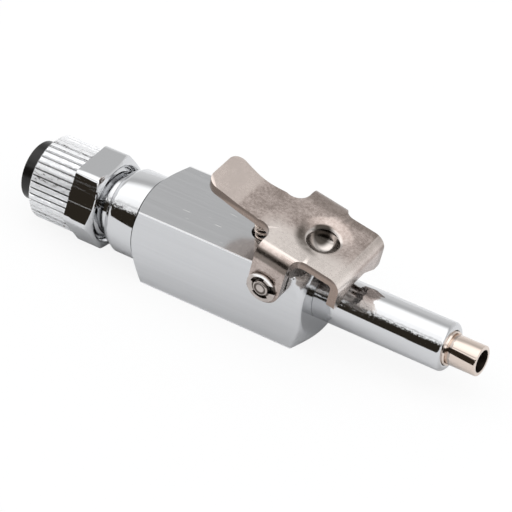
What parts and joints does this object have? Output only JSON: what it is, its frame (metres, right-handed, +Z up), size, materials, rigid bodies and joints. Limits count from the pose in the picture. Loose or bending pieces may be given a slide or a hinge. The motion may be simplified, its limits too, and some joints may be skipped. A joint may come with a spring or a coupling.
{
  "type": "shut-off quick disconnect plug",
  "caption": "Plug half of a shut-off quick disconnect: square bar body with a sprung thumb latch, long tubular probe with a hollow valve stem, and a knurled compression nut for tube.",
  "frame": {"origin": "centre of the square body's front face, where the mating collar seats, on the flow axis", "axes": "+X along the flow axis out through the probe, +Z up through the latch, +Y across the bar along the latch pin"},
  "size_m": [0.0744, 0.0172, 0.0211],
  "materials": {
    "polished_chrome": "polished chrome plate with fine handling scratches",
    "stem_nickel": "turned, warm nickel tint",
    "latch_steel": "satin, tumbled stainless sheet with sheared edges",
    "bright_steel": "bright pressed steel",
    "spring_wire": "drawn wire",
    "sleeve_plastic": "black satin",
    "seal_rubber": "matt black",
    "gasket_fibre": "pale fibre washer"
  },
  "bodies": {
    "fitting": {"valve_body": "polished_chrome", "probe_barrel": "polished_chrome", "barrel_gasket": "gasket_fibre", "stem_gland_seal": "seal_rubber", "stem_spring": "spring_wire", "tube_adapter": "polished_chrome", "adapter_seal": "seal_rubber", "latch_pin": "bright_steel", "latch_clips": "bright_steel", "latch_spring": "spring_wire"},
    "latch": {"latch_lever": "latch_steel"},
    "stem": {"valve_stem": "stem_nickel", "stem_head_seal": "seal_rubber"},
    "sleeve": {"compression_sleeve": "sleeve_plastic"},
    "nut": {"compression_nut": "polished_chrome"}
  },
  "joints": [
    {"name": "latch_pivot", "type": "hinge", "parent": "fitting", "child": "latch", "pos_m": [-0.0053, 0, 0.0043], "axis": [0, -1, 0], "range_deg": [0, 20], "stiffness_Nm_per_rad": 0.036, "springref_deg": -18.33, "deforming": ["latch_spring"]},
    {"name": "stem_slide", "type": "slide", "parent": "fitting", "child": "stem", "axis": [-1, 0, 0], "range_m": [0, 0.003], "stiffness_N_per_m": 800, "springref_m": -0.003, "deforming": ["stem_spring"]},
    {"name": "nut_advance", "type": "slide", "parent": "fitting", "child": "sleeve", "axis": [1, 0, 0], "range_m": [-0.0064, 0.0012]},
    {"name": "nut_turn", "type": "hinge", "parent": "sleeve", "child": "nut", "pos_m": [-0.0412, 0, 0], "axis": [1, 0, 0], "range_deg": [-2160, 408]}
  ],
  "couplings": [
    {"joint": "nut_advance", "follows": "nut_turn", "m_per_rad": 0.00016844}
  ]
}
